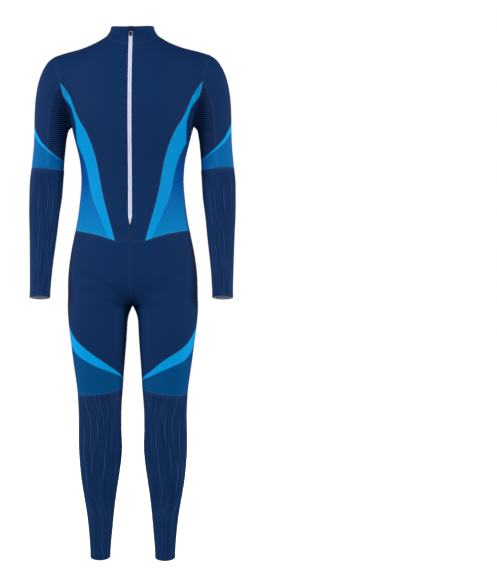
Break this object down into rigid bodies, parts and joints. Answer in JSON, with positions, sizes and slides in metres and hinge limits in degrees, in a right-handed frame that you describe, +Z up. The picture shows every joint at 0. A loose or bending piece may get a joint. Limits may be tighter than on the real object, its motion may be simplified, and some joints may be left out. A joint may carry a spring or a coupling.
{
  "type": "ski racing suit",
  "caption": "One-piece stretch race suit for cross-country skiing, filled out as worn and empty, with a high collar, front zip and swept side panels.",
  "frame": {"origin": "middle of the neck at the height of the collar seam, where the wearer's shoulders hold the suit up", "axes": "+X to the wearer's left, -Y to the front, +Z up; millimetres in the source, metres here"},
  "size_m": [0.5628, 0.2436, 1.4578],
  "materials": {
    "navy_cloth": "matt stretch knit",
    "printed_blue_cloth": "printed stretch knit, bright blue sweep on a navy to blue fade",
    "mesh_cloth": "finely perforated stretch knit",
    "ribbed_cloth": "ribbed stretch knit with fine wavy lines",
    "zip_tape": "woven tape",
    "trim_cloth": "matt",
    "zip_metal": "satin"
  },
  "bodies": {
    "suit": {"bodice_front_left": "navy_cloth", "bodice_front_right": "navy_cloth", "side_panel_left": "printed_blue_cloth", "side_panel_right": "printed_blue_cloth", "upper_sleeve_left": "navy_cloth", "upper_sleeve_right": "navy_cloth", "underarm_mesh_left": "mesh_cloth", "underarm_mesh_right": "mesh_cloth", "forearm_sleeve_left": "ribbed_cloth", "forearm_sleeve_right": "ribbed_cloth", "upper_leg_left": "navy_cloth", "upper_leg_right": "navy_cloth", "lower_leg_left": "ribbed_cloth", "lower_leg_right": "ribbed_cloth", "zip_tape_left": "zip_tape", "zip_tape_right": "zip_tape", "bodice_back": "navy_cloth", "back_mesh_panel": "mesh_cloth", "collar": "navy_cloth", "zip_garage": "trim_cloth", "zip_slider": "zip_metal"},
    "zip_pull": {"zip_pull": "zip_metal"}
  },
  "joints": [
    {"name": "zip_pull_hinge", "type": "hinge", "parent": "suit", "child": "zip_pull", "pos_m": [0, -0.07613, -0.00225], "axis": [-1, 0, 0], "range_deg": [0, 160]}
  ]
}
